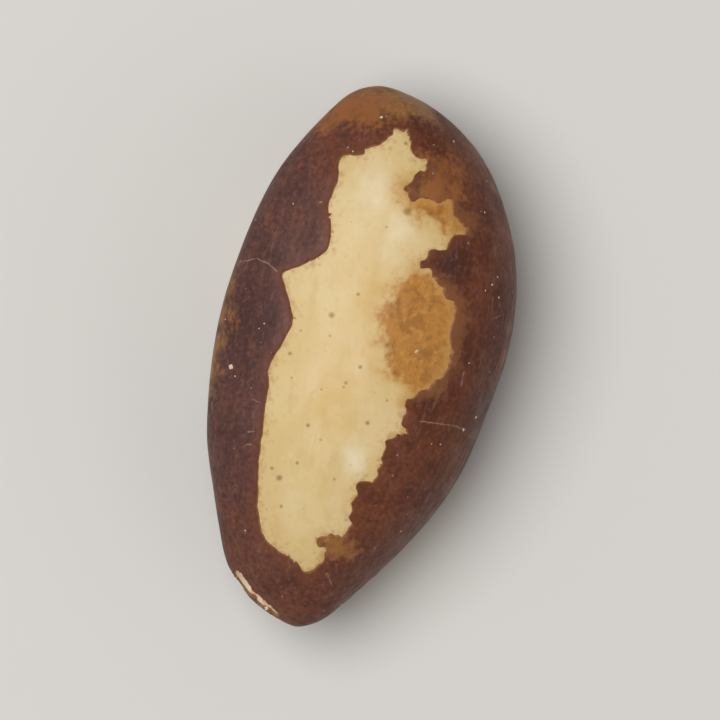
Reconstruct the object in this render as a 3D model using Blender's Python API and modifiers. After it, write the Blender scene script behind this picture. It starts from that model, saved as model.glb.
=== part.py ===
"""A shelled Brazil nut kernel, lying on a small flat spot of its underside.

The kernel grew as one piece, so it is one solid. Its body is a soft three-sided form, like a
fat segment of an orange: a broad face on top, a blunt ridge high on its left side, a fuller
right side and a rounded keel below. The brown skin that clings to it stands a little above the
flesh, so each window where the skin has come off is a shallow recess with a torn edge.

Sizes are millimetres, in a working frame from tip to tip: +X to the pointed end, +Y to the side
that bulges more, +Z up from the surface that the nut lies on. The last step moves the origin to
the middle of the underside of the nut's box and turns millimetres into metres.
"""

import math

import bmesh
import bpy
import numpy as np
from mathutils import Vector, noise

MM = 0.001

# The two ends, as (along, across, up)
BLUNT_TIP = (-19.0, 0.0, 8.2)
POINTED_TIP = (19.0, 0.0, 7.2)

# Cross-sections from the blunt end to the pointed end: place along the nut, left and right edge,
# underside and crest, and the height of the left ridge
SECTIONS = (
    (-16.5, -3.6, 6.1, 3.6, 12.0, 9.2),
    (-12.5, -6.0, 9.4, 1.4, 14.1, 9.9),
    (-7.5, -7.7, 11.2, 0.3, 15.1, 10.2),
    (-2.5, -8.5, 11.6, 0.0, 15.4, 10.2),
    (2.5, -8.55, 10.75, 0.05, 15.2, 10.0),
    (7.5, -7.9, 9.25, 0.6, 14.2, 9.4),
    (12.5, -6.45, 6.55, 2.1, 12.2, 8.5),
    (16.5, -4.45, 3.5, 4.1, 10.0, 7.7),
)

# Where the crest and the keel lie between the left edge (0) and the right edge (1), and how high
# the right side is fullest between the underside (0) and the crest (1)
CREST_SHARE = 0.52
KEEL_SHARE = 0.48
RIGHT_FULLEST = 0.46

# How full the section is between its edges, crest and keel: 0 is a straight chord, 0.41 an arc
FULLNESS = {"upper_right": 0.44, "upper_left": 0.30, "lower_left": 0.36, "lower_right": 0.46}

# The left ridge is held a little sharper than the rest
RIDGE_CREASE = 0.16

# The cage: its lengthwise columns are counted round from the right side
COLUMNS = 8
LEFT_COLUMN = 4
SUBDIVISIONS = 3
FIT_ROUNDS = 12

# Slow unevenness of the grown form
SWELL_HEIGHT = 0.16
SWELL_LENGTH = 6.5

# The small flat spot below, as the depth that is pressed flat
FLAT_SPOT_DEPTH = 0.2

# The skin's thickness, and the width of its torn edge
SKIN_STEP = 0.18
TORN_EDGE = 0.25

# A cut line takes over a vertex this near along its edge, and leaves one alone that is already on it
SNAP_SHARE = 0.2
ON_LINE = 1e-4

# Windows in the skin, each as seen from one side. The view is an angle round the nut's length:
# 0 from the right, 90 from above, 180 from the left and 270 from below. Points are (along the
# nut, across the view), measured from the line between the tips.
AXIS_HEIGHT = 7.7
BROAD_WINDOW = {
    "view": 90.0,
    "outline": (
        (-16.2, 2.4), (-15.4, 1.0), (-14.3, -0.6), (-13.5, -2.1), (-11.9, -2.2), (-9.8, -2.5),
        (-8.2, -2.1), (-6.9, -2.4), (-5.8, -3.5), (-4.9, -4.9), (-3.6, -4.3), (-2.1, -3.8),
        (-0.4, -4.2), (1.2, -4.8), (5.6, -4.4), (10.4, -4.1), (12.5, -3.5), (13.7, -2.6),
        (14.5, -1.0), (15.2, 0.2), (14.9, 1.3), (12.8, 0.9), (12.1, 2.6), (11.1, 3.3),
        (9.1, 3.2), (7.9, 4.1), (6.1, 4.1), (4.8, 4.8), (4.1, 5.5), (2.5, 5.3), (1.5, 6.5),
        (-0.1, 7.7), (-1.9, 7.8), (-4.0, 7.3), (-5.9, 6.1), (-6.9, 4.8), (-8.0, 5.5),
        (-9.3, 6.6), (-10.4, 6.0), (-10.5, 4.8), (-10.8, 3.3), (-12.1, 2.8), (-14.0, 3.5),
        (-15.3, 2.9),
    ),
}
LOWER_LEFT_WINDOW = {
    "view": 222.0,
    "outline": (
        (-12.5, -0.4), (-12.0, 0.9), (-11.0, 1.1), (-10.4, 2.4), (-9.2, 2.5), (-8.6, 3.6),
        (-7.2, 3.9), (-6.4, 2.9), (-5.1, 3.1), (-4.3, 2.1), (-2.6, 2.2), (-1.5, 1.2), (0.3, 1.4),
        (1.1, 0.4), (2.7, 0.6), (4.1, -0.5), (3.0, -1.1), (1.5, -0.8), (0.3, -1.8), (-1.2, -1.5),
        (-2.3, -2.6), (-4.0, -3.0), (-5.0, -2.0), (-6.2, -2.3), (-7.5, -3.3), (-8.7, -2.5),
        (-9.1, -1.3), (-10.6, -1.7), (-11.4, -0.8),
    ),
}
LOWER_RIGHT_WINDOW = {
    "view": 318.0,
    "outline": (
        (3.4, 0.8), (4.6, 1.6), (5.9, 1.2), (6.8, 2.1), (8.1, 2.4), (9.0, 1.6), (10.2, 1.9),
        (11.3, 2.7), (12.6, 2.3), (13.2, 1.3), (14.3, 1.1), (15.1, 0.0), (14.1, -0.9),
        (12.9, -0.7), (12.3, -1.7), (10.9, -2.4), (9.7, -1.8), (8.9, -0.8), (7.6, -1.2),
        (6.7, -0.5), (5.6, -0.9), (4.5, -0.1),
    ),
}
WINDOWS = (BROAD_WINDOW, LOWER_LEFT_WINDOW, LOWER_RIGHT_WINDOW)
# Stands for the distance to a window that can't be reached, because the surface faces the other way
FAR = 99.0

SKIN_COLOUR = 0x5E3D33
FLESH_COLOUR = 0xDCC08A
SKIN_ROUGHNESS = 0.5
FLESH_ROUGHNESS = 0.42


def clear_scene():
    for obj in list(bpy.data.objects):
        bpy.data.objects.remove(obj)


def between(start, end, share):
    return start + (end - start) * share


def full_corner(side, crown, fullness):
    """The point of a section between a side point (left or right) and a crown point (above or below)."""
    middle = (side + crown) / 2
    corner = np.array((side[0], crown[1]))
    return between(middle, corner, fullness)


def section_points(left, right, underside, crest, ridge_height):
    """Eight points of a cross-section, anticlockwise from the right as seen from the pointed end."""
    right_point = np.array((right, between(underside, crest, RIGHT_FULLEST)))
    crest_point = np.array((between(left, right, CREST_SHARE), crest))
    left_point = np.array((left, ridge_height))
    keel_point = np.array((between(left, right, KEEL_SHARE), underside))
    return (
        right_point,
        full_corner(right_point, crest_point, FULLNESS["upper_right"]),
        crest_point,
        full_corner(left_point, crest_point, FULLNESS["upper_left"]),
        left_point,
        full_corner(left_point, keel_point, FULLNESS["lower_left"]),
        keel_point,
        full_corner(right_point, keel_point, FULLNESS["lower_right"]),
    )


def surface_point(band, column):
    """Where the smooth surface should be at one crossing of the cage."""
    if band == 0:
        return Vector(BLUNT_TIP)
    if band > len(SECTIONS):
        return Vector(POINTED_TIP)
    along, *sizes = SECTIONS[band - 1]
    across, up = section_points(*sizes)[column]
    return Vector((along, across, up))


def from_lowest(corners):
    """The corners of a face in the same sense, starting from the lowest number."""
    start = corners.index(min(corners))
    return corners[start:] + corners[:start]


def sphere_cage():
    """A coarse sphere with its poles at the tips, and the wanted surface point of each vertex.

    The sphere tool can list its vertices and faces in another order each time, so they are listed
    afresh: from tip to tip and round each band.
    """
    bm = bmesh.new()
    bands = len(SECTIONS) + 1
    bmesh.ops.create_uvsphere(bm, u_segments=COLUMNS, v_segments=bands, radius=1.0)
    bm.verts.index_update()
    crossings = []
    for vert in bm.verts:
        band = round(math.acos(-max(-1.0, min(1.0, vert.co.z))) / math.pi * bands)
        column = round(math.atan2(vert.co.y, vert.co.x) / math.tau * COLUMNS) % COLUMNS
        crossings.append((band, column if 0 < band < bands else LEFT_COLUMN))
    ordered = sorted(crossings)
    faces = [[ordered.index(crossings[vert.index]) for vert in face.verts] for face in bm.faces]
    bm.free()
    wanted = [surface_point(band, column) for band, column in ordered]
    mesh = bpy.data.meshes.new("brazil_nut_kernel")
    mesh.from_pydata(wanted, [], sorted(map(from_lowest, faces)))
    creases = mesh.attributes.new("crease_edge", "FLOAT", "EDGE")
    for edge in mesh.edges:
        on_ridge = all(ordered[index][1] == LEFT_COLUMN for index in edge.vertices)
        creases.data[edge.index].value = RIDGE_CREASE if on_ridge else 0.0
    return mesh, wanted


def fit_cage(obj, wanted):
    """Moves the cage until the smooth surface passes through the wanted points."""
    for _ in range(FIT_ROUNDS):
        graph = bpy.context.evaluated_depsgraph_get()
        surface = obj.evaluated_get(graph).data.vertices
        gaps = [place - surface[index].co for index, place in enumerate(wanted)]
        for vertex, gap in zip(obj.data.vertices, gaps):
            vertex.co += gap
        obj.data.update()


def smooth_body(collection):
    mesh, wanted = sphere_cage()
    obj = bpy.data.objects.new("brazil_nut_kernel", mesh)
    collection.objects.link(obj)
    subdivision = obj.modifiers.new("smooth", "SUBSURF")
    subdivision.levels = SUBDIVISIONS
    subdivision.render_levels = SUBDIVISIONS
    fit_cage(obj, wanted)
    bpy.context.view_layer.objects.active = obj
    bpy.ops.object.modifier_apply(modifier=subdivision.name)
    return obj


def swell(bm):
    """Raises and lowers the surface by slow, even noise."""
    bm.normal_update()
    shifts = [vert.normal * SWELL_HEIGHT * noise.noise(vert.co / SWELL_LENGTH) for vert in bm.verts]
    for vert, shift in zip(bm.verts, shifts):
        vert.co += shift


def distance_to_outline(point, outline):
    """Distance in the plane from the outline, negative inside it."""
    corners = np.array(outline)
    sides = np.roll(corners, -1, axis=0) - corners
    offsets = np.array(point) - corners
    shares = np.clip((offsets * sides).sum(axis=1) / (sides**2).sum(axis=1), 0.0, 1.0)
    nearest = np.linalg.norm(offsets - sides * shares[:, None], axis=1).min()
    below = corners[:, 1] > point[1]
    crosses = below != np.roll(below, -1)
    places = corners[:, 0] + offsets[:, 1] / np.where(crosses, sides[:, 1], 1.0) * sides[:, 0]
    inside = (crosses & (point[0] < places)).sum() % 2
    return -nearest if inside else nearest


def distance_to_window(place, normal, window):
    angle = math.radians(window["view"])
    facing = Vector((0.0, math.cos(angle), math.sin(angle)))
    if normal.dot(facing) <= 0:
        return FAR
    across = Vector((0.0, math.sin(angle), -math.cos(angle)))
    from_axis = place - Vector((0.0, 0.0, AXIS_HEIGHT))
    return distance_to_outline((place.x, from_axis.dot(across)), window["outline"])


def mark_skin_edge(bm):
    """Stores on each vertex how far it is from the nearest edge of the skin, negative on bare flesh."""
    bm.normal_update()
    layer = bm.verts.layers.float.new("skin_edge")
    for vert in bm.verts:
        vert[layer] = min(distance_to_window(vert.co, vert.normal, window) for window in WINDOWS)
    return layer


def cut_along(bm, layer, level):
    """Cuts the triangles along the line where the stored distance is the given level."""
    on_line = []
    for edge in list(bm.edges):
        start, end = edge.verts
        before = start[layer] - level
        after = end[layer] - level
        if before * after >= 0 or min(abs(before), abs(after)) < ON_LINE:
            continue
        share = before / (before - after)
        place = start.co.lerp(end.co, share)
        if share < SNAP_SHARE and start[layer] != 0.0:
            vert = start
        elif share > 1.0 - SNAP_SHARE and end[layer] != 0.0:
            vert = end
        else:
            vert = bmesh.utils.edge_split(edge, start, share)[1]
        vert.co = place
        vert[layer] = level
        on_line.append(vert)
    bmesh.ops.connect_verts(bm, verts=on_line)
    bmesh.ops.triangulate(bm, faces=bm.faces)


def recess_windows(bm):
    """Lowers the bare flesh by the skin's thickness, inside a torn edge."""
    bmesh.ops.triangulate(bm, faces=bm.faces)
    layer = mark_skin_edge(bm)
    cut_along(bm, layer, 0.0)
    cut_along(bm, layer, -TORN_EDGE)
    bm.normal_update()
    for vert in bm.verts:
        if vert[layer] <= -TORN_EDGE:
            vert.co -= vert.normal * SKIN_STEP
    for face in bm.faces:
        face.material_index = int(min(vert[layer] for vert in face.verts) < 0.0)
        face.smooth = True


def lay_down(bm):
    """Presses the keel flat, puts the origin under the middle of the box, and turns mm into metres."""
    floor = min(vert.co.z for vert in bm.verts) + FLAT_SPOT_DEPTH
    for vert in bm.verts:
        vert.co.z = max(vert.co.z, floor)
    places = np.array([vert.co for vert in bm.verts])
    lowest = places.min(axis=0)
    highest = places.max(axis=0)
    middle = (lowest + highest) / 2
    origin = Vector((middle[0], middle[1], lowest[2]))
    for vert in bm.verts:
        vert.co = (vert.co - origin) * MM


def linear(channel):
    """One 8-bit sRGB channel as linear light."""
    value = channel / 255
    return value / 12.92 if value <= 0.04045 else ((value + 0.055) / 1.055) ** 2.4


def material(name, colour, roughness):
    made = bpy.data.materials.new(name)
    made.use_nodes = True
    surface = made.node_tree.nodes["Principled BSDF"]
    channels = (colour >> 16, colour >> 8 & 255, colour & 255)
    surface.inputs["Base Color"].default_value = (*map(linear, channels), 1.0)
    surface.inputs["Roughness"].default_value = roughness
    surface.inputs["Metallic"].default_value = 0.0
    return made


def build():
    clear_scene()
    collection = bpy.data.collections.new("brazil_nut")
    bpy.context.scene.collection.children.link(collection)
    kernel = smooth_body(collection)
    bm = bmesh.new()
    bm.from_mesh(kernel.data)
    swell(bm)
    recess_windows(bm)
    lay_down(bm)
    bm.to_mesh(kernel.data)
    bm.free()
    kernel.data.materials.append(material("brown_skin", SKIN_COLOUR, SKIN_ROUGHNESS))
    kernel.data.materials.append(material("cream_flesh", FLESH_COLOUR, FLESH_ROUGHNESS))


if __name__ == "__main__":
    build()
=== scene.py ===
"""A shelled Brazil nut kernel: brown seed skin, torn off in windows over waxy cream flesh.

The nut is modelled in millimetres in a working frame from tip to tip: +X to the pointed end, +Y to
the side that bulges more, +Z up from the surface it lies on. Its form repeats the solid's, from the
same driving sizes. The last step puts the origin under the middle of its box and turns millimetres
into metres.
"""

import math
import random

import bmesh
import bpy
import numpy as np
from mathutils import Matrix, Vector, noise
from mathutils.bvhtree import BVHTree


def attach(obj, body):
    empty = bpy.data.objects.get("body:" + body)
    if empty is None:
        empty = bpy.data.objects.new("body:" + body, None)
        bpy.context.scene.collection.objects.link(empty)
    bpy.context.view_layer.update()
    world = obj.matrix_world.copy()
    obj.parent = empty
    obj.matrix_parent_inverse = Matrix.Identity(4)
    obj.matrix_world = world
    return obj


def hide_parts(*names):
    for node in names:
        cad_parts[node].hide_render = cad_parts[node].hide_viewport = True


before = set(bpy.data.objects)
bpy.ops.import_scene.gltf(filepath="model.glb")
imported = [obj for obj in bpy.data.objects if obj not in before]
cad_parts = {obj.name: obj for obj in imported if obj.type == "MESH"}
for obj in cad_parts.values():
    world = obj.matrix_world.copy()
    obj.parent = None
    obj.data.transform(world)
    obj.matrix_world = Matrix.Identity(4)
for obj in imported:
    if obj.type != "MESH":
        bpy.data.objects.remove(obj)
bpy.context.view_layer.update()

MM = 0.001
NODE = "brazil_nut_kernel"
BODY = "root"

# The form, as in the solid: tips, cross-sections and the cage that makes them
BLUNT_TIP = (-19.0, 0.0, 8.2)
POINTED_TIP = (19.0, 0.0, 7.2)
SECTIONS = (
    (-16.5, -3.6, 6.1, 3.6, 12.0, 9.2),
    (-12.5, -6.0, 9.4, 1.4, 14.1, 9.9),
    (-7.5, -7.7, 11.2, 0.3, 15.1, 10.2),
    (-2.5, -8.5, 11.6, 0.0, 15.4, 10.2),
    (2.5, -8.55, 10.75, 0.05, 15.2, 10.0),
    (7.5, -7.9, 9.25, 0.6, 14.2, 9.4),
    (12.5, -6.45, 6.55, 2.1, 12.2, 8.5),
    (16.5, -4.45, 3.5, 4.1, 10.0, 7.7),
)
CREST_SHARE = 0.52
KEEL_SHARE = 0.48
RIGHT_FULLEST = 0.46
FULLNESS = {"upper_right": 0.44, "upper_left": 0.30, "lower_left": 0.36, "lower_right": 0.46}
RIDGE_CREASE = 0.16
COLUMNS = 8
LEFT_COLUMN = 4
FIT_ROUNDS = 12
FIT_LEVELS = 1
FINE_LEVELS = 5
SWELL_HEIGHT = 0.16
SWELL_LENGTH = 6.5
FLAT_SPOT_DEPTH = 0.2

# The skin, in mm: its thickness, how much thinner it is near a torn edge, and the width of the tear
SKIN_STEP = 0.18
EDGE_THINNING = 0.07
THINNING_REACH = 0.7
TORN_EDGE = 0.09
# The bare flesh lies this much lower, except where the amber inner skin is left on it
FLESH_DROP = 0.03
FILM_RISE = 0.03
FILM_FADE = 0.4
# A cut line takes over a vertex this near along its edge, and leaves one alone that is already on it
SNAP_SHARE = 0.15
ON_LINE = 1e-4
# Height of the line between the tips, from which the windows are measured
AXIS_HEIGHT = 7.7
# Stands for a distance beyond reach, as where the surface faces away from a patch
FAR = 99.0
# Steps between two outline points where an outline is rounded
SPLINE_STEPS = 4

# How the tear wanders: lobes, round bites and nicks, as (depth, size) in mm
EDGE_LOBES = (0.1, 1.7)
EDGE_BITES = (0.55, 0.67)
EDGE_NICKS = (0.09, 0.3)
USUAL_BITE = 0.45
# On the broad side the tear is nearly smooth left of the middle and toothed right of it. Lower down
# smooth stretches take turns with toothed ones
SMOOTH_SHARE = 0.2
SMOOTH_LEFT_OF = -1.0
TOOTHED_RIGHT_OF = 2.5
LOWER_DOWN = 10.5
STRETCH = 2.4
STRETCH_FADE = 0.25

# How deep the chip is cut, and how far in from its rim it is deepest
CHIP_DEPTH = 0.3
CHIP_SLOPE = 0.6

# Low relief, as (depth, size) in mm. Wrinkles run along the nut, so theirs is a length and widths
WRINKLES = (0.035, (4.1, 0.9, 0.9))
DIMPLES = (0.03, 1.25)
RIPPLES = (0.05, 2.5)

# Windows in the skin, each seen from one side, as (along the nut, across the view)
BROAD_WINDOW = {
    "view": 90.0,
    "outline": (
        (-16.3, 1.2), (-15.7, 1.0), (-15.0, 0.2), (-14.5, -0.7), (-14.1, -0.8), (-13.9, -1.9),
        (-13.3, -2.3), (-12.2, -2.2), (-11.0, -2.4), (-9.9, -2.6), (-8.9, -2.2), (-7.6, -2.0),
        (-6.8, -2.4), (-6.1, -3.3), (-5.5, -4.2), (-5.0, -4.9), (-4.3, -4.6), (-3.1, -4.1),
        (-2.0, -3.7), (-0.8, -4.0), (0.4, -4.4), (1.6, -4.8), (2.9, -4.6), (6.1, -4.5),
        (9.0, -4.3), (10.6, -4.1), (11.9, -3.8), (13.2, -3.2), (14.0, -2.1), (14.7, -0.6),
        (15.3, 0.0), (15.0, 0.8), (14.3, 1.2), (13.3, 1.4), (13.1, 0.8), (12.6, 0.8), (12.3, 2.6),
        (11.4, 3.0), (10.4, 2.8), (8.5, 3.0), (8.0, 4.0), (6.0, 4.2), (5.1, 4.5), (4.5, 5.6),
        (4.0, 5.2), (3.0, 5.3), (2.2, 5.3), (1.3, 6.7), (-0.1, 7.6), (-1.6, 7.8), (-3.1, 7.7),
        (-4.5, 7.5), (-5.4, 6.9), (-6.3, 5.9), (-6.9, 5.2), (-7.1, 4.6), (-7.9, 5.2),
        (-8.5, 6.2), (-9.2, 6.7), (-9.7, 7.3), (-10.3, 7.4), (-10.8, 6.5), (-12.0, 5.9),
        (-11.7, 5.0), (-11.7, 3.6), (-11.3, 3.1), (-12.1, 3.0), (-12.0, 2.4), (-12.6, 3.2),
        (-13.2, 3.3), (-13.7, 3.9), (-14.5, 3.7), (-14.5, 3.1), (-15.6, 2.7), (-16.1, 2.3),
    ),
}
LOWER_LEFT_WINDOW = {
    "view": 222.0,
    "outline": (
        (-12.5, -0.4), (-12.0, 0.9), (-11.0, 1.1), (-10.4, 2.4), (-9.2, 2.5), (-8.6, 3.6),
        (-7.2, 3.9), (-6.4, 2.9), (-5.1, 3.1), (-4.3, 2.1), (-2.6, 2.2), (-1.5, 1.2), (0.3, 1.4),
        (1.1, 0.4), (2.7, 0.6), (4.1, -0.5), (3.0, -1.1), (1.5, -0.8), (0.3, -1.8), (-1.2, -1.5),
        (-2.3, -2.6), (-4.0, -3.0), (-5.0, -2.0), (-6.2, -2.3), (-7.5, -3.3), (-8.7, -2.5),
        (-9.1, -1.3), (-10.6, -1.7), (-11.4, -0.8),
    ),
}
LOWER_RIGHT_WINDOW = {
    "view": 318.0,
    "outline": (
        (3.4, 0.8), (4.6, 1.6), (5.9, 1.2), (6.8, 2.1), (8.1, 2.4), (9.0, 1.6), (10.2, 1.9),
        (11.3, 2.7), (12.6, 2.3), (13.2, 1.3), (14.3, 1.1), (15.1, 0.0), (14.1, -0.9),
        (12.9, -0.7), (12.3, -1.7), (10.9, -2.4), (9.7, -1.8), (8.9, -0.8), (7.6, -1.2),
        (6.7, -0.5), (5.6, -0.9), (4.5, -0.1),
    ),
}
# A chip out of the left ridge, near the pointed end
CHIP = {
    "view": 128.0,
    "outline": (
        (15.7, -3.1), (16.3, -2.3), (17.0, -1.9), (17.6, -1.2), (18.3, -0.6), (18.6, -0.9),
        (18.2, -1.9), (17.5, -2.6), (17.1, -3.5), (16.3, -3.9),
    ),
}
WINDOWS = (BROAD_WINDOW, LOWER_LEFT_WINDOW, LOWER_RIGHT_WINDOW, CHIP)


def between(start, end, share):
    return start + (end - start) * share


def full_corner(side, crown, fullness):
    """The point of a section between a side point (left or right) and a crown point (above or below)."""
    middle = (side + crown) / 2
    corner = np.array((side[0], crown[1]))
    return between(middle, corner, fullness)


def section_points(left, right, underside, crest, ridge_height):
    """Eight points of a cross-section, anticlockwise from the right as seen from the pointed end."""
    right_point = np.array((right, between(underside, crest, RIGHT_FULLEST)))
    crest_point = np.array((between(left, right, CREST_SHARE), crest))
    left_point = np.array((left, ridge_height))
    keel_point = np.array((between(left, right, KEEL_SHARE), underside))
    return (
        right_point,
        full_corner(right_point, crest_point, FULLNESS["upper_right"]),
        crest_point,
        full_corner(left_point, crest_point, FULLNESS["upper_left"]),
        left_point,
        full_corner(left_point, keel_point, FULLNESS["lower_left"]),
        keel_point,
        full_corner(right_point, keel_point, FULLNESS["lower_right"]),
    )


def surface_point(band, column):
    """Where the smooth surface should be at one crossing of the cage."""
    if band == 0:
        return Vector(BLUNT_TIP)
    if band > len(SECTIONS):
        return Vector(POINTED_TIP)
    along, *sizes = SECTIONS[band - 1]
    across, up = section_points(*sizes)[column]
    return Vector((along, across, up))


def from_lowest(corners):
    """The corners of a face in the same sense, starting from the lowest number."""
    start = corners.index(min(corners))
    return corners[start:] + corners[:start]


def add_cage():
    """A coarse sphere with its poles at the tips, and the wanted surface point of each vertex.

    The sphere operator can list its vertices and faces in another order each time, so they are
    listed afresh: from tip to tip and round each band.
    """
    bpy.ops.object.select_all(action="DESELECT")
    bands = len(SECTIONS) + 1
    bpy.ops.mesh.primitive_uv_sphere_add(segments=COLUMNS, ring_count=bands, radius=1.0)
    obj = bpy.context.object
    mesh = obj.data
    crossings = []
    for vert in mesh.vertices:
        band = round(math.acos(-max(-1.0, min(1.0, vert.co.z))) / math.pi * bands)
        column = round(math.atan2(vert.co.y, vert.co.x) / math.tau * COLUMNS) % COLUMNS
        crossings.append((band, column if 0 < band < bands else LEFT_COLUMN))
    ordered = sorted(crossings)
    faces = [[ordered.index(crossings[index]) for index in face.vertices] for face in mesh.polygons]
    wanted = [surface_point(band, column) for band, column in ordered]
    mesh.clear_geometry()
    mesh.from_pydata(wanted, [], sorted(map(from_lowest, faces)))
    creases = mesh.attributes.new("crease_edge", "FLOAT", "EDGE")
    for edge in mesh.edges:
        on_ridge = all(ordered[index][1] == LEFT_COLUMN for index in edge.vertices)
        creases.data[edge.index].value = RIDGE_CREASE if on_ridge else 0.0
    return obj, wanted


def fit_cage(obj, wanted):
    """Moves the cage until the smooth surface passes through the wanted points."""
    for _ in range(FIT_ROUNDS):
        graph = bpy.context.evaluated_depsgraph_get()
        surface = obj.evaluated_get(graph).data.vertices
        gaps = [place - surface[index].co for index, place in enumerate(wanted)]
        for vertex, gap in zip(obj.data.vertices, gaps):
            vertex.co += gap
        obj.data.update()


def add_smooth_body():
    obj, wanted = add_cage()
    subdivision = obj.modifiers.new("smooth", "SUBSURF")
    subdivision.levels = FIT_LEVELS
    fit_cage(obj, wanted)
    subdivision.levels = FINE_LEVELS
    subdivision.render_levels = FINE_LEVELS
    bpy.ops.object.modifier_apply(modifier=subdivision.name)
    return obj


def noise_at(places, size, seed=0.0):
    """Smooth noise from -1 to 1 at each place. Size is in mm, the same all ways or per axis."""
    return np.array([noise.noise(Vector(place)) for place in places / np.array(size) + seed])


def bites_at(places, size):
    """Distance to the middle of the nearest random cell, as a share of the cells' size in mm."""
    return np.array([noise.voronoi(Vector(place))[0][0] for place in places / size])


def smooth_step(values, low, high):
    share = np.clip((values - low) / (high - low), 0.0, 1.0)
    return share * share * (3.0 - 2.0 * share)


def read_places(mesh):
    places = np.empty(len(mesh.vertices) * 3, np.float32)
    mesh.vertices.foreach_get("co", places)
    normals = np.empty(len(mesh.vertices) * 3, np.float32)
    mesh.vertex_normals.foreach_get("vector", normals)
    return places.reshape(-1, 3).astype(float), normals.reshape(-1, 3).astype(float)


def write_places(mesh, places):
    mesh.vertices.foreach_set("co", places.astype(np.float32).ravel())
    mesh.update()


def swell(mesh):
    """Raises and lowers the surface by slow, even noise."""
    places, normals = read_places(mesh)
    heights = SWELL_HEIGHT * noise_at(places, SWELL_LENGTH)
    write_places(mesh, places + normals * heights[:, None])


def rounded(outline):
    """The outline as a closed curve through its points."""
    points = np.array(outline)
    before, after, beyond = (np.roll(points, -step, axis=0) for step in (-1, 1, 2))
    curve = []
    for share in np.arange(SPLINE_STEPS) / SPLINE_STEPS:
        slope = (after - before) * share + (2 * before - 5 * points + 4 * after - beyond) * share**2
        curve.append(points + (slope + (3 * points - before - 3 * after + beyond) * share**3) / 2)
    return np.stack(curve, axis=1).reshape(-1, 2)


def distances_to_outline(points, corners):
    """Each point's distance in the plane from the outline, negative inside it."""
    sides = np.roll(corners, -1, axis=0) - corners
    offsets = points[:, None, :] - corners[None]
    shares = np.clip((offsets * sides).sum(axis=2) / (sides**2).sum(axis=1), 0.0, 1.0)
    nearest = np.linalg.norm(offsets - sides * shares[..., None], axis=2).min(axis=1)
    below = corners[None, :, 1] > points[:, None, 1]
    crosses = below != np.roll(below, -1, axis=1)
    rise = np.where(sides[:, 1] == 0.0, 1.0, sides[:, 1])
    places = corners[:, 0] + offsets[..., 1] / rise * sides[:, 0]
    inside = (crosses & (points[:, None, 0] < places)).sum(axis=1) % 2 == 1
    return np.where(inside, -nearest, nearest)


def distances_to_patch(places, normals, patch):
    """Distance from a patch that is outlined as seen from one side, negative inside it."""
    angle = math.radians(patch["view"])
    facing = np.array((0.0, math.cos(angle), math.sin(angle)))
    across = np.array((0.0, math.sin(angle), -math.cos(angle)))
    seen = normals @ facing > 0.0
    from_axis = places - np.array((0.0, 0.0, AXIS_HEIGHT))
    plane = np.stack((places[:, 0], from_axis @ across), axis=1)
    found = np.full(len(places), FAR)
    found[seen] = distances_to_outline(plane[seen], rounded(patch["outline"]))
    return found


def nearest_patch(places, normals, patches):
    found = [distances_to_patch(places, normals, patch) for patch in patches]
    return np.minimum.reduce(found)


def torn_distance(places, normals):
    """Distance from the nearest torn edge of the skin, negative on bare flesh."""
    nearest = nearest_patch(places, normals, WINDOWS)
    lobes = EDGE_LOBES[0] * noise_at(places, EDGE_LOBES[1])
    bites = EDGE_BITES[0] * (bites_at(places, EDGE_BITES[1]) - USUAL_BITE)
    nicks = EDGE_NICKS[0] * noise_at(places, EDGE_NICKS[1], seed=2.9)
    rightwards = smooth_step(places[:, 1], SMOOTH_LEFT_OF, TOOTHED_RIGHT_OF)
    stretches = smooth_step(noise_at(places, STRETCH, seed=7.7), -STRETCH_FADE, STRETCH_FADE)
    toothed = between(stretches, rightwards, smooth_step(places[:, 2], AXIS_HEIGHT, LOWER_DOWN))
    return nearest + lobes + (bites + nicks) * between(SMOOTH_SHARE, 1.0, toothed)


def join_spare_verts(bm):
    """Joins each vertex that has only two edges to its nearest neighbour. Left alone, the two faces
    that share it can come to share all their corners, as a stray flap."""
    for vert in [vert for vert in bm.verts if len(vert.link_edges) == 2]:
        if vert.is_valid and len(vert.link_edges) == 2:
            neighbours = [edge.other_vert(vert) for edge in vert.link_edges]
            nearest = min(neighbours, key=lambda other: (other.co - vert.co).length)
            bmesh.ops.weld_verts(bm, targetmap={vert: nearest})


def cut_along(bm, layer, level):
    """Cuts the triangles along the line where the stored distance is the given level."""
    on_line = []
    for edge in list(bm.edges):
        start, end = edge.verts
        before = start[layer] - level
        after = end[layer] - level
        if before * after >= 0 or min(abs(before), abs(after)) < ON_LINE:
            continue
        share = before / (before - after)
        place = start.co.lerp(end.co, share)
        if share < SNAP_SHARE and start[layer] != 0.0:
            vert = start
        elif share > 1.0 - SNAP_SHARE and end[layer] != 0.0:
            vert = end
        else:
            vert = bmesh.utils.edge_split(edge, start, share)[1]
        vert.co = place
        vert[layer] = level
        on_line.append(vert)
    bmesh.ops.connect_verts(bm, verts=on_line)
    join_spare_verts(bm)
    bmesh.ops.triangulate(bm, faces=bm.faces)


def cut_torn_edges(mesh):
    places, normals = read_places(mesh)
    distances = torn_distance(places, normals)
    bm = bmesh.new()
    bm.from_mesh(mesh)
    layer = bm.verts.layers.float.new("skin_edge")
    for vert, distance in zip(bm.verts, distances):
        vert[layer] = distance
    bmesh.ops.triangulate(bm, faces=bm.faces)
    cut_along(bm, layer, 0.0)
    cut_along(bm, layer, -TORN_EDGE)
    bm.to_mesh(mesh)
    bm.free()


def read_attribute(mesh, name):
    values = np.empty(len(mesh.vertices), np.float32)
    mesh.attributes[name].data.foreach_get("value", values)
    return values.astype(float)


def write_attribute(mesh, name, values):
    made = mesh.attributes.new(name, "FLOAT", "POINT")
    made.data.foreach_set("value", values.astype(np.float32))


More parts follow.
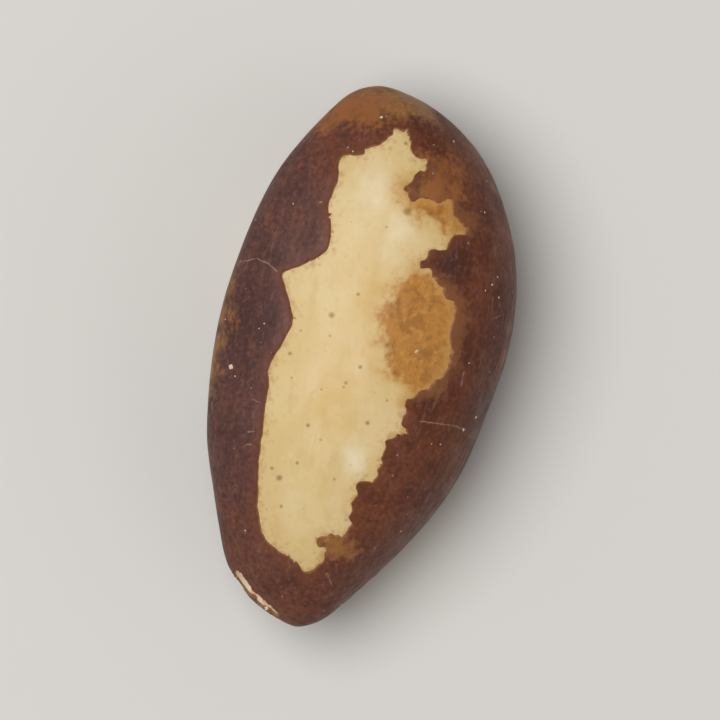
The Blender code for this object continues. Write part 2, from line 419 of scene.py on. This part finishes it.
def shape_surface(mesh):
    """Gives skin and flesh their relief. It only goes inwards, so the nut stays in its box."""
    places, normals = read_places(mesh)
    distances = read_attribute(mesh, "skin_edge")
    store_marks(mesh, places, normals)
    thinning = EDGE_THINNING * (1.0 - smooth_step(distances, 0.0, THINNING_REACH))
    wrinkles = WRINKLES[0] * np.abs(noise_at(places, WRINKLES[1], seed=3.3))
    dimples = DIMPLES[0] * (1.0 + noise_at(places, DIMPLES[1], seed=5.5)) / 2
    film = FILM_RISE * (1.0 - smooth_step(read_attribute(mesh, "amber"), -FILM_FADE, FILM_FADE))
    ripples = RIPPLES[0] * (1.0 - noise_at(places, RIPPLES[1], seed=9.1)) / 2
    chip = CHIP_DEPTH * (1.0 - smooth_step(read_attribute(mesh, "chip"), -CHIP_SLOPE, 0.0))
    flesh = SKIN_STEP + FLESH_DROP - film + ripples + chip
    on_flesh = distances <= -TORN_EDGE + ON_LINE
    depths = np.where(on_flesh, flesh, thinning + wrinkles + dimples)
    write_places(mesh, places - normals * depths[:, None])


def split_materials(mesh):
    """Slot 0 is the skin with its torn edge, and slot 1 is the bare flesh."""
    distances = read_attribute(mesh, "skin_edge")
    corners = np.empty(len(mesh.polygons) * 3, np.int32)
    mesh.polygons.foreach_get("vertices", corners)
    highest = distances[corners.reshape(-1, 3)].max(axis=1)
    bare = (highest <= -TORN_EDGE + ON_LINE).astype(np.int32)
    mesh.polygons.foreach_set("material_index", bare)


def resting_origin(mesh):
    """The middle of the smooth form's underside, once its keel is pressed flat."""
    places, _ = read_places(mesh)
    lowest, highest = places.min(axis=0), places.max(axis=0)
    middle = (lowest + highest) / 2
    return np.array((middle[0], middle[1], lowest[2] + FLAT_SPOT_DEPTH))


def lay_down(mesh, origin):
    """Presses the keel flat, moves the origin under the nut, and turns mm into metres."""
    places, _ = read_places(mesh)
    places[:, 2] = np.maximum(places[:, 2], origin[2])
    write_places(mesh, (places - origin) * MM)


# Where a film of the amber inner skin is left on the flesh
AMBER_PATCHES = (
    {
        "view": 90.0,
        "outline": (
            (-6.8, 5.2), (-6.0, 7.2), (-4.6, 8.0), (-2.3, 8.2), (-0.4, 8.0), (1.6, 7.2),
            (2.2, 5.4), (0.9, 4.9), (0.3, 3.6), (-1.0, 2.8), (-2.2, 3.0), (-3.5, 2.4),
            (-5.1, 3.1), (-6.3, 4.3),
        ),
    },
    {
        "view": 90.0,
        "outline": (
            (-12.4, 2.3), (-11.4, 2.9), (-10.7, 3.6), (-10.1, 5.1), (-9.7, 6.6), (-9.5, 7.8),
            (-10.9, 8.0), (-11.6, 7.0), (-12.8, 6.2), (-12.4, 3.8),
        ),
    },
    {
        "view": 222.0,
        "outline": (
            (-13.0, 0.4), (-11.2, 2.2), (-9.6, 3.6), (-8.4, 3.3), (-9.0, 1.5), (-9.8, 0.3),
            (-10.2, -1.0), (-11.6, -1.6),
        ),
    },
    {
        "view": 318.0,
        "outline": ((11.2, 3.0), (14.2, 2.8), (15.8, 0.2), (14.2, -0.4), (12.4, 0.9)),
    },
)
# Where the skin is worn thin and golden, as (middle, half sizes): the blunt tip and left of it, the
# left ridge, right of the broad window near each end, and low near the blunt end
WORN_SPOTS = (
    ((-18.8, -0.6, 9.3), (3.9, 4.8, 3.8)),
    ((-16.6, -3.6, 9.6), (1.9, 1.4, 1.9)),
    ((-1.2, -8.3, 11.1), (2.1, 0.9, 0.8)),
    ((2.0, -8.3, 10.7), (1.6, 0.8, 0.7)),
    ((-12.9, 4.9, 13.3), (2.3, 1.7, 1.7)),
    ((12.9, 2.0, 11.9), (0.9, 1.4, 1.4)),
    ((-14.8, 3.4, 3.4), (2.6, 1.3, 1.1)),
)
# Soft stains on the flesh of the broad side: (along, across, half length, half width, faintness)
PALE_SMEARS = (
    (6.9, 2.3, 1.5, 1.0, 0.0), (-11.8, 0.4, 3.2, 2.4, 0.3), (-9.2, 2.8, 2.6, 1.8, 0.2),
    (10.5, -1.6, 3.2, 1.8, 0.8),
)
YELLOW_STAINS = ((2.6, 0.2, 2.8, 2.0, 0.0), (9.5, 0.5, 2.6, 1.2, 0.4), (-4.5, 1.4, 2.2, 1.5, 0.0))
# Redder zones of the skin there, and darker zones of painted shade over its flanks, in the same way
RUDDY_ZONES = (
    (-14.6, -2.7, 3.4, 2.7, 0.0), (-12.5, 7.0, 4.0, 2.6, 0.0), (-5.6, 9.2, 3.2, 1.4, 0.0),
    (8.0, 5.5, 4.5, 2.0, 0.0),
)
# Painted shade: darker zones over the flanks, where the sides fall into shade
DUSKY_SHADE_ZONES = (
    (-1.5, -6.4, 4.8, 2.6, 0.0), (-7.6, 6.6, 2.0, 1.6, 0.0), (2.0, 10.5, 4.0, 1.6, 0.3),
)


def spot_distance(places, spots):
    """Rough distance in mm from the nearest spot, negative inside it."""
    distances = []
    for middle, half_sizes in spots:
        reach = np.linalg.norm((places - middle) / half_sizes, axis=1)
        distances.append((reach - 1.0) * min(half_sizes))
    return np.minimum.reduce(distances)


def stain_reach(places, stains):
    """How far out from the nearest stain each place is: its faintness at its middle, 1 more at its rim."""
    reaches = [
        np.hypot((places[:, 0] - along) / half_length, (places[:, 1] - across) / half_width) + faintness
        for along, across, half_length, half_width, faintness in stains
    ]
    return np.where(places[:, 2] > AXIS_HEIGHT, np.minimum.reduce(reaches), FAR)


def store_marks(mesh, places, normals):
    """Stores how far each place is from every marking. The materials give them their ragged edges."""
    write_attribute(mesh, "amber", nearest_patch(places, normals, AMBER_PATCHES))
    write_attribute(mesh, "gold", spot_distance(places, WORN_SPOTS))
    write_attribute(mesh, "chip", distances_to_patch(places, normals, CHIP))
    write_attribute(mesh, "pale", stain_reach(places, PALE_SMEARS))
    write_attribute(mesh, "yellow", stain_reach(places, YELLOW_STAINS))
    write_attribute(mesh, "ruddy", stain_reach(places, RUDDY_ZONES))
    write_attribute(mesh, "dusky_shade", stain_reach(places, DUSKY_SHADE_ZONES))


def add(tree, kind, inputs=None, **settings):
    """Adds a node with its settings, and its inputs as constants or as other nodes' sockets."""
    made = tree.nodes.new(kind)
    for name, value in settings.items():
        setattr(made, name, value)
    for key, value in (inputs or {}).items():
        if isinstance(value, bpy.types.NodeSocket):
            tree.links.new(value, made.inputs[key])
        else:
            made.inputs[key].default_value = value
    return made


def linear(hex_colour):
    """An sRGB hex colour as linear red, green, blue and alpha."""
    channels = [(hex_colour >> shift & 255) / 255 for shift in (16, 8, 0)]
    return (*(c / 12.92 if c <= 0.04045 else ((c + 0.055) / 1.055) ** 2.4 for c in channels), 1.0)


def new_material(name):
    made = bpy.data.materials.new(name)
    made.use_nodes = True
    return made, made.node_tree, made.node_tree.nodes["Principled BSDF"]


# Inputs of the Mix node for colours
FACTOR, COLOUR_A, COLOUR_B = 0, 6, 7
COLOUR_OUT = 2


def working_place(tree, origin):
    """Object coordinates turned back into millimetres in the working frame."""
    coords = add(tree, "ShaderNodeTexCoord").outputs["Object"]
    return add(
        tree, "ShaderNodeMapping", {"Vector": coords, "Location": origin, "Scale": (1 / MM,) * 3}
    ).outputs[0]


def layered(tree, colour, layers):
    """Lays colours over each other. Each layer is (source, where it starts, where it is full,
    its strength there, colour)."""
    for source, low, high, strength, over in layers:
        share = add(
            tree,
            "ShaderNodeMapRange",
            {"Value": source, "From Min": low, "From Max": high, "To Max": strength},
            interpolation_type="SMOOTHSTEP",
        ).outputs[0]
        colour = add(
            tree,
            "ShaderNodeMix",
            {FACTOR: share, COLOUR_A: colour, COLOUR_B: over},
            data_type="RGBA",
        ).outputs[COLOUR_OUT]
    return colour


# Fine scratches in the skin of the broad side, as start and end (along, across)
SCRATCHES = (
    ((-5.4, -7.7), (-5.7, -6.6)),
    ((-5.7, -6.6), (-5.5, -5.8)),
    ((-5.5, -5.8), (-5.1, -5.1)),
    ((6.1, -5.3), (6.0, -4.9)),
    ((7.0, -5.3), (6.9, -4.9)),
    ((3.9, -5.3), (4.0, -4.9)),
    ((14.8, 1.6), (15.6, 2.1)),
    ((14.9, 1.5), (15.3, 1.8)),
    ((3.5, 6.2), (3.4, 8.4)),
    ((3.4, 8.5), (3.6, 9.4)),
    ((-0.3, 8.7), (0.6, 8.6)),
    ((-4.3, 10.1), (-4.6, 10.5)),
)
SCRATCH_WIDTH = 0.07
# How much the scratches and the pits waver: how fine, and how far in mm
SCRATCH_WANDER = (0.6, 0.3)
PIT_WANDER = (0.2, 0.35)
# Brown specks in the flesh of the broad side, as (along, across, radius)
PITS = (
    (-2.7, -0.9, 0.17), (0.3, -3.3, 0.11), (0.5, 1.6, 0.12), (5.0, -1.3, 0.12), (4.2, 2.7, 0.13),
    (8.9, -2.7, 0.18), (7.7, -1.6, 0.1), (8.3, -3.3, 0.1), (-4.4, 0.6, 0.1), (-10.6, 3.0, 0.24),
    (-15.2, 2.1, 0.11), (1.7, 0.8, 0.1), (10.8, -2.2, 0.09),
)


def seen_from_above(tree, place):
    """The place with its height left out, and 0 on the upper side or 1 on the underside."""
    flat = add(tree, "ShaderNodeVectorMath", {0: place, 1: (1.0, 1.0, 0.0)}, operation="MULTIPLY")
    height = add(tree, "ShaderNodeSeparateXYZ", {0: place}).outputs[2]
    below = add(tree, "ShaderNodeMath", {0: height, 1: AXIS_HEIGHT}, operation="LESS_THAN")
    return flat.outputs[0], below.outputs[0]


def scratch_distance(tree, place):
    """Distance in mm from the nearest scratch, and over 1 on the underside."""
    flat, below = seen_from_above(tree, place)
    nearest = FAR
    for start, end in SCRATCHES:
        run = Vector((end[0] - start[0], end[1] - start[1], 0.0))
        offset = add(
            tree, "ShaderNodeVectorMath", {0: flat, 1: (*start, 0.0)}, operation="SUBTRACT"
        ).outputs[0]
        reach = add(
            tree, "ShaderNodeVectorMath", {0: offset, 1: tuple(run)}, operation="DOT_PRODUCT"
        ).outputs["Value"]
        share = add(
            tree, "ShaderNodeMapRange", {"Value": reach, "From Max": run.length_squared}
        ).outputs[0]
        along = add(
            tree, "ShaderNodeVectorMath", {0: tuple(run), "Scale": share}, operation="SCALE"
        ).outputs[0]
        apart = add(
            tree, "ShaderNodeVectorMath", {0: offset, 1: along}, operation="DISTANCE"
        ).outputs["Value"]
        nearest = add(tree, "ShaderNodeMath", {0: nearest, 1: apart}, operation="MINIMUM").outputs[0]
    return add(tree, "ShaderNodeMath", {0: nearest, 1: below}, operation="ADD").outputs[0]


def pit_reach(tree, place):
    """How far out from the nearest pit a place is: 0 at its middle, 1 at its rim. On the underside it
    is 1 more, so that pits are faint there."""
    flat, below = seen_from_above(tree, place)
    nearest = FAR
    for along, across, radius in PITS:
        apart = add(
            tree, "ShaderNodeVectorMath", {0: flat, 1: (along, across, 0.0)}, operation="DISTANCE"
        ).outputs["Value"]
        reach = add(tree, "ShaderNodeMath", {0: apart, 1: radius}, operation="DIVIDE").outputs[0]
        nearest = add(tree, "ShaderNodeMath", {0: nearest, 1: reach}, operation="MINIMUM").outputs[0]
    return add(tree, "ShaderNodeMath", {0: nearest, 1: below}, operation="ADD").outputs[0]


def wandering(tree, place, wander):
    """The place, moved about by up to half the wander's reach, so that a straight pattern wavers."""
    scale, reach = wander
    shift = add(tree, "ShaderNodeTexNoise", {"Vector": place, "Scale": scale}).outputs["Color"]
    moved = add(
        tree, "ShaderNodeVectorMath", {0: shift, 1: (reach,) * 3, 2: place}, operation="MULTIPLY_ADD"
    ).outputs[0]
    return add(
        tree, "ShaderNodeVectorMath", {0: moved, 1: (reach / 2,) * 3}, operation="SUBTRACT"
    ).outputs[0]


def roughened(tree, distance, *pushes):
    """A stored distance, raised by noises, so that a painted edge is ragged. Each push is a noise
    from 0 to 1 and how far it raises the distance."""
    for push, reach in pushes:
        distance = add(
            tree, "ShaderNodeMath", {0: push, 1: reach, 2: distance}, operation="MULTIPLY_ADD"
        ).outputs[0]
    return distance


def read_marks(tree, names):
    """The distances and reaches that are stored on the kernel's surface, by name."""
    return {
        name: add(tree, "ShaderNodeAttribute", attribute_name=name).outputs["Fac"] for name in names
    }


# Sizes of the skin's patterns, in mm
TONE_FIELD = 6.0
SKIN_BLOTCH = 1.4
SKIN_GRAIN = 0.33
FIBRE_WIDTH = 0.31
FIBRE_STRETCH = 7.0
SCUFF_BAND = 2.0
SPECK_SPACING = 1.25
SKIN_WANDER = (1.1, 0.6)
SKIN_BUMP = 0.05


def seed_skin(origin):
    """Testa, the papery seed skin, dried and rubbed: satin brown, purple-grey towards the left side,
    partly its own tone and partly a painted sheen, redder where it is thin, golden where it is worn or
    the inner skin shows, with fibres along the nut."""
    made, tree, surface = new_material("seed_skin")
    place = working_place(tree, origin)
    drift = wandering(tree, place, SKIN_WANDER)
    lengthwise, across, _ = add(tree, "ShaderNodeSeparateXYZ", {0: place}).outputs
    along = add(
        tree, "ShaderNodeMapping", {"Vector": drift, "Scale": (1 / FIBRE_STRETCH, 1.0, 1.0)}
    ).outputs[0]
    marks = read_marks(tree, ("skin_edge", "gold", "amber", "ruddy", "dusky_shade"))
    edge = marks["skin_edge"]

    fields, blotches, grain = (
        add(tree, "ShaderNodeTexNoise", {"Vector": place, "Scale": 1 / size, "Detail": detail}).outputs[0]
        for size, detail in ((TONE_FIELD, 2.0), (SKIN_BLOTCH, 4.0), (SKIN_GRAIN, 4.0))
    )
    fibres, bands = (
        add(tree, "ShaderNodeTexNoise", {"Vector": along, "Scale": 1 / size, "Detail": 4.0}).outputs[0]
        for size in (FIBRE_WIDTH, SCUFF_BAND)
    )
    scuffs = add(tree, "ShaderNodeMath", {0: fibres, 1: bands}, operation="MULTIPLY").outputs[0]
    specks = add(
        tree, "ShaderNodeTexVoronoi", {"Vector": drift, "Scale": 1 / SPECK_SPACING}
    ).outputs["Distance"]
    scratch = scratch_distance(tree, wandering(tree, place, SCRATCH_WANDER))
    worn_scratch = roughened(tree, scratch, (grain, SCRATCH_WIDTH * 2))
    rubbed = roughened(tree, marks["gold"], (blotches, 3.4), (fibres, 1.8), (grain, 2.6))
    stained = roughened(tree, marks["amber"], (blotches, 1.6), (grain, 1.2))
    ruddy = roughened(tree, marks["ruddy"], (blotches, 1.8))
    dusky_shade = roughened(tree, marks["dusky_shade"], (blotches, 1.8))
    gold_mottle = layered(
        tree,
        linear(0x986938),
        (
            (blotches, 0.46, 0.66, 0.7, linear(0x774B2A)),
            (fibres, 0.5, 0.68, 0.45, linear(0x6C4427)),
            (grain, 0.5, 0.7, 0.6, linear(0xAD844E)),
            (ruddy, 2.8, 1.6, 0.65, linear(0x95552C)),
            (lengthwise, 8.0, 12.0, 0.5, linear(0xA0683A)),
        ),
    )
    colour = layered(
        tree,
        linear(0x5E2D18),
        (
            (fields, 0.42, 0.6, 0.75, linear(0x773F22)),
            # Purple-grey towards the left side: partly the skin's own tone, partly a painted sheen of the
            # sky on it
            (across, 2.0, -4.5, 0.85, linear(0x593B38)),
            (lengthwise, 8.0, 15.0, 0.75, linear(0x6A3F30)),
            (ruddy, 2.1, 1.0, 0.75, linear(0x713D27)),
            # Painted shade, darker over the flanks of the skin
            (dusky_shade, 2.1, 1.0, 0.75, linear(0x432827)),
            (blotches, 0.5, 0.72, 0.5, linear(0x42251F)),
            (blotches, 0.48, 0.28, 0.45, linear(0x7A4936)),
            (grain, 0.45, 0.72, 0.5, linear(0x3C211B)),
            (grain, 0.48, 0.28, 0.35, linear(0x825A4A)),
            (fibres, 0.5, 0.72, 0.22, linear(0x7A5141)),
            (scuffs, 0.33, 0.45, 0.4, linear(0x8C6B58)),
            (edge, 0.8, 0.0, 0.5, linear(0x74402A)),
            (stained, 1.9, 0.9, 0.5, linear(0x8A5A34)),
            (rubbed, 4.6, 2.7, 0.85, gold_mottle),
            (edge, 0.0, -0.06, 0.5, linear(0x9A704A)),
            (specks, 0.08, 0.03, 0.6, linear(0xB59C84)),
            (worn_scratch, SCRATCH_WIDTH * 2, SCRATCH_WIDTH, 0.5, linear(0xA98E78)),
        ),
    )
    tree.links.new(colour, surface.inputs["Base Color"])
    shine = add(
        tree,
        "ShaderNodeMapRange",
        {"Value": blotches, "From Min": 0.3, "From Max": 0.7, "To Min": 0.42, "To Max": 0.6},
    ).outputs[0]
    tree.links.new(shine, surface.inputs["Roughness"])
    ridges = add(tree, "ShaderNodeMath", {0: fibres, 1: grain}, operation="ADD").outputs[0]
    bump = add(
        tree, "ShaderNodeBump", {"Height": ridges, "Strength": 0.5, "Distance": SKIN_BUMP * MM}
    ).outputs[0]
    tree.links.new(bump, surface.inputs["Normal"])
    surface.inputs["IOR"].default_value = 1.45
    surface.inputs["Specular IOR Level"].default_value = 0.3
    return made


# Sizes of the flesh's patterns, in mm
FLESH_CLOUD = 5.0
FLESH_BLOTCH = 1.25
FLESH_GRAIN = 0.42
STREAK_WIDTH = 0.9
STREAK_STRETCH = 3.3
PORE_SPACING = 1.4
FLESH_BUMP = 0.04


def nut_flesh(origin):
    """Kernel flesh, two thirds oil, bared where the skin broke away: waxy cream that lets a little
    light in, amber where the inner skin is left, chalky where it is chipped, with brown pits."""
    made, tree, surface = new_material("nut_flesh")
    place = working_place(tree, origin)
    along = add(
        tree, "ShaderNodeMapping", {"Vector": place, "Scale": (1 / STREAK_STRETCH, 1.0, 1.0)}
    ).outputs[0]
    marks = read_marks(tree, ("skin_edge", "amber", "pale", "yellow", "chip"))
    edge = marks["skin_edge"]

    clouds, blotches, grain = (
        add(tree, "ShaderNodeTexNoise", {"Vector": place, "Scale": 1 / size, "Detail": detail}).outputs[0]
        for size, detail in ((FLESH_CLOUD, 3.0), (FLESH_BLOTCH, 4.0), (FLESH_GRAIN, 5.0))
    )
    streaks = add(
        tree, "ShaderNodeTexNoise", {"Vector": along, "Scale": 1 / STREAK_WIDTH, "Detail": 4.0}
    ).outputs[0]
    pores = add(
        tree, "ShaderNodeTexVoronoi", {"Vector": place, "Scale": 1 / PORE_SPACING}
    ).outputs["Distance"]
    pits = pit_reach(tree, wandering(tree, place, PIT_WANDER))
    ragged_amber = roughened(tree, marks["amber"], (blotches, 2.4), (grain, 1.6))
    frayed = roughened(tree, edge, (grain, 3.2))
    pale = roughened(tree, marks["pale"], (blotches, 1.6))
    yellow = roughened(tree, marks["yellow"], (blotches, 1.6))
    film = layered(
        tree,
        linear(0xB67A32),
        (
            (blotches, 0.45, 0.62, 0.8, linear(0x9C6426)),
            (grain, 0.5, 0.68, 0.6, linear(0xC9964E)),
            (grain, 0.45, 0.3, 0.6, linear(0x8A5722)),
            (edge, -0.7, -0.2, 0.5, linear(0xC79856)),
        ),
    )
    broken = layered(
        tree,
        linear(0xE8D8C0),
        (
            (blotches, 0.45, 0.65, 0.6, linear(0xD8BF98)),
            (grain, 0.48, 0.68, 0.6, linear(0xCFB084)),
            (edge, -0.3, -0.1, 0.6, linear(0xC09A6C)),
        ),
    )
    colour = layered(
        tree,
        linear(0xD9BD84),
        (
            (clouds, 0.4, 0.65, 0.8, linear(0xDFC794)),
            (streaks, 0.5, 0.75, 0.35, linear(0xCDAA6C)),
            (grain, 0.5, 0.8, 0.3, linear(0xC9A566)),
            (yellow, 2.1, 0.7, 0.55, linear(0xD0A95C)),
            (pale, 2.2, 0.7, 0.85, linear(0xEBDBBA)),
            (frayed, 1.0, 1.9, 0.5, linear(0xB98A50)),
            (ragged_amber, 3.4, 2.1, 0.55, linear(0xC99C56)),
            (ragged_amber, 2.6, 1.5, 0.95, film),
            (pits, 1.8, 0.3, 0.65, linear(0x7E581C)),
            (pores, 0.1, 0.04, 0.45, linear(0x8A5F2E)),
            (marks["chip"], 0.3, 0.0, 0.9, broken),
        ),
    )
    tree.links.new(colour, surface.inputs["Base Color"])
    bump = add(
        tree, "ShaderNodeBump", {"Height": grain, "Strength": 0.3, "Distance": FLESH_BUMP * MM}
    ).outputs[0]
    tree.links.new(bump, surface.inputs["Normal"])
    surface.inputs["Roughness"].default_value = 0.45
    surface.inputs["IOR"].default_value = 1.46
    surface.inputs["Specular IOR Level"].default_value = 0.4
    surface.inputs["Subsurface Weight"].default_value = 0.15
    surface.inputs["Subsurface Radius"].default_value = (1.0, 0.6, 0.3)
    surface.inputs["Subsurface Scale"].default_value = 0.8 * MM
    return made


def nut_meal():
    """Meal rubbed off broken flesh: dry, pale, matt crumbs."""
    made, _, surface = new_material("nut_meal")
    surface.inputs["Base Color"].default_value = linear(0xD8C8AC)
    surface.inputs["Roughness"].default_value = 0.8
    return made


# Shading stays smooth across corners up to this many degrees, so the torn edge reads as sharp
SHARP_FROM = 40.0


def build_kernel():
    """The whole nut as one closed surface, with its skin and its bare flesh in two materials."""
    kernel = add_smooth_body()
    kernel.name = "kernel_with_skin"
    mesh = kernel.data
    swell(mesh)
    origin = resting_origin(mesh)
    cut_torn_edges(mesh)
    shape_surface(mesh)
    split_materials(mesh)
    lay_down(mesh, origin)
    mesh.materials.append(seed_skin(tuple(origin)))
    mesh.materials.append(nut_flesh(tuple(origin)))
    bpy.ops.object.shade_smooth()
    mesh.set_sharp_from_angle(angle=math.radians(SHARP_FROM))
    return kernel, origin


# Crumbs on the broad side, as (along, across, radius) in mm
CRUMBS = (
    (1.9, -7.2, 0.2), (2.5, -6.8, 0.08), (-1.2, 5.2, 0.16), (-1.4, -5.4, 0.09), (-1.0, -5.7, 0.07),
    (-15.9, 5.4, 0.1), (-11.4, 8.3, 0.1), (-6.6, 9.6, 0.1), (-6.1, 9.2, 0.08), (-5.8, 10.2, 0.09),
    (-1.0, 8.9, 0.08), (3.6, 9.3, 0.14), (2.6, 10.0, 0.13), (18.0, -2.1, 0.16), (11.2, 6.2, 0.08),
    (-16.7, 0.2, 0.14), (12.9, -4.4, 0.08), (3.0, 3.6, 0.07), (7.2, 2.0, 0.12),
)
# More crumbs, scattered over the skin by lot, but not where the nut would lie on them
SCATTERED_CRUMBS = 34
SCATTERED_RADIUS = (0.02, 0.08)
SCATTERED_ALONG = 17.0
SCATTERED_LOWEST = 1.0
# Seeds of the draws: where the scattered crumbs fall, and how each crumb is shaped
FALL_SEED = 11
LUMP_SEED = 23
# How deep a crumb is sunk, how flat it lies and how narrow it can be, as shares of its radius
CRUMB_SINK = 0.35
CRUMB_FLATNESS = 0.7
CRUMB_WIDTHS = (0.5, 1.0)
# How uneven a crumb is, the size of its lumps, and the span of noise that it draws them from
CRUMB_LUMPS = 0.45
CRUMB_LUMP_SIZE = 0.77
LUMP_SPAN = 50.0
# The middle line that scattered crumbs fall towards, and how far out they start
MIDDLE_ACROSS = 1.5
FALL_FROM = 30.0


def crumb_spots(kernel, origin):
    """Places, normals and radii of the crumbs, in metres."""
    tree = BVHTree.FromObject(kernel, bpy.context.evaluated_depsgraph_get())
    bare = [face.material_index == 1 for face in kernel.data.polygons]
    draw = random.Random(FALL_SEED)
    spots = []
    for along, across, radius in CRUMBS:
        start = (Vector((along, across, FALL_FROM)) - Vector(origin)) * MM
        place, normal, _, _ = tree.ray_cast(start, Vector((0.0, 0.0, -1.0)))
        spots.append((place, normal, radius * MM))
    for _ in range(SCATTERED_CRUMBS):
        along = draw.uniform(-SCATTERED_ALONG, SCATTERED_ALONG)
        angle = draw.uniform(0.0, math.tau)
        radius = draw.uniform(*SCATTERED_RADIUS)
        outwards = Vector((0.0, math.cos(angle), math.sin(angle)))
        middle = (Vector((along, MIDDLE_ACROSS, AXIS_HEIGHT)) - Vector(origin)) * MM
        place, normal, face, _ = tree.ray_cast(middle + outwards * FALL_FROM * MM, -outwards)
        if not bare[face] and place.z > SCATTERED_LOWEST * MM:
            spots.append((place, normal, radius * MM))
    return spots


def build_crumbs(kernel, origin):
    """Crumbs of nut meal, each an uneven ball sunk in the surface, joined as one piece."""
    draw = random.Random(LUMP_SEED)
    bpy.ops.object.select_all(action="DESELECT")
    bpy.ops.mesh.primitive_ico_sphere_add(subdivisions=2, radius=1.0)
    ball = bpy.context.object
    crumbs = []
    for place, normal, radius in crumb_spots(kernel, origin):
        crumb = ball.copy()
        crumb.data = ball.data.copy()
        bpy.context.scene.collection.objects.link(crumb)
        seed = Vector((draw.uniform(0.0, LUMP_SPAN),) * 3)
        for vert in crumb.data.vertices:
            vert.co *= 1.0 + CRUMB_LUMPS * noise.noise(vert.co / CRUMB_LUMP_SIZE + seed)
        width = radius * draw.uniform(*CRUMB_WIDTHS)
        size = Matrix.Diagonal((radius, width, radius * CRUMB_FLATNESS, 1.0))
        spin = Matrix.Rotation(draw.uniform(0.0, math.tau), 4, "Z")
        lean = normal.to_track_quat("Z", "X").to_matrix().to_4x4()
        sunk = Matrix.Translation(place - normal * radius * CRUMB_SINK)
        crumb.data.transform(sunk @ lean @ spin @ size)
        crumbs.append(crumb)
    bpy.data.objects.remove(ball)
    for crumb in crumbs:
        crumb.select_set(True)
    bpy.context.view_layer.objects.active = crumbs[0]
    bpy.ops.object.join()
    joined = bpy.context.object
    joined.name = "meal_crumbs"
    joined.data.materials.append(nut_meal())
    return joined


# The photograph's view: straight down, with the pointed end down and this many degrees to the left
NUT_TILT = 9.38
# In metres, but the sensor in mm
CAMERA_HEIGHT = 0.6
SEEN_WIDTH = 0.0505
SENSOR = 36.0
FLOOR_SIZE = 1.2
FLOOR_DROP = 0.00002


def add_camera():
    turn = math.radians(NUT_TILT)
    right = Vector((-math.sin(turn), math.cos(turn), 0.0))
    up = Vector((-math.cos(turn), -math.sin(turn), 0.0))
    camera = bpy.data.cameras.new("camera")
    camera.sensor_width = SENSOR
    camera.lens = SENSOR * CAMERA_HEIGHT / SEEN_WIDTH
    obj = bpy.data.objects.new("camera", camera)
    axes = Matrix((right, up, right.cross(up))).transposed()
    obj.matrix_world = Matrix.Translation((0.0, 0.0, CAMERA_HEIGHT)) @ axes.to_4x4()
    bpy.context.scene.collection.objects.link(obj)
    bpy.context.scene.camera = obj
    return right, up


def add_floor():
    """Matt paper, just under the nut."""
    bpy.ops.object.select_all(action="DESELECT")
    bpy.ops.mesh.primitive_plane_add(size=FLOOR_SIZE, location=(0.0, 0.0, -FLOOR_DROP))
    floor = bpy.context.object
    floor.name = "floor"
    made, _, surface = new_material("matt_white_paper")
    surface.inputs["Base Color"].default_value = linear(0xDAD8D4)
    surface.inputs["Roughness"].default_value = 0.9
    floor.data.materials.append(made)


def add_area_light(name, place, size, power):
    """A round light that points at the nut."""
    light = bpy.data.lights.new(name, "AREA")
    light.shape = "DISK"
    light.size = size
    light.energy = power
    obj = bpy.data.objects.new(name, light)
    obj.location = place
    obj.rotation_euler = (-Vector(place)).to_track_quat("-Z", "Y").to_euler()
    bpy.context.scene.collection.objects.link(obj)


# The lights: place as metres to the right, up the picture and towards the camera, diameter in metres
# and power in watts
LIGHTS = {
    "key": ((-0.2, 0.08, 0.62), 0.5, 3.35),
    "fill": ((0.45, -0.2, 0.35), 0.6, 0.35),
}
DOME_COLOUR = (1.0, 0.965, 0.91, 1.0)
DOME_STRENGTH = 0.26


def add_lights(right, up):
    """A broad soft light from the left of the photograph, a weak one opposite, and a soft dome."""
    for name, (shift, size, power) in LIGHTS.items():
        place = right * shift[0] + up * shift[1] + Vector((0.0, 0.0, shift[2]))
        add_area_light(name, place, size, power)
    world = bpy.data.worlds.new("studio")
    world.use_nodes = True
    background = world.node_tree.nodes["Background"]
    background.inputs["Color"].default_value = DOME_COLOUR
    background.inputs["Strength"].default_value = DOME_STRENGTH
    bpy.context.scene.world = world
    bpy.context.scene.view_settings.view_transform = "Standard"


camera_right, camera_up = add_camera()
add_floor()
add_lights(camera_right, camera_up)
nut, nut_origin = build_kernel()
meal = build_crumbs(nut, nut_origin)
for piece in (nut, meal):
    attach(piece, BODY)
    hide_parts(NODE)
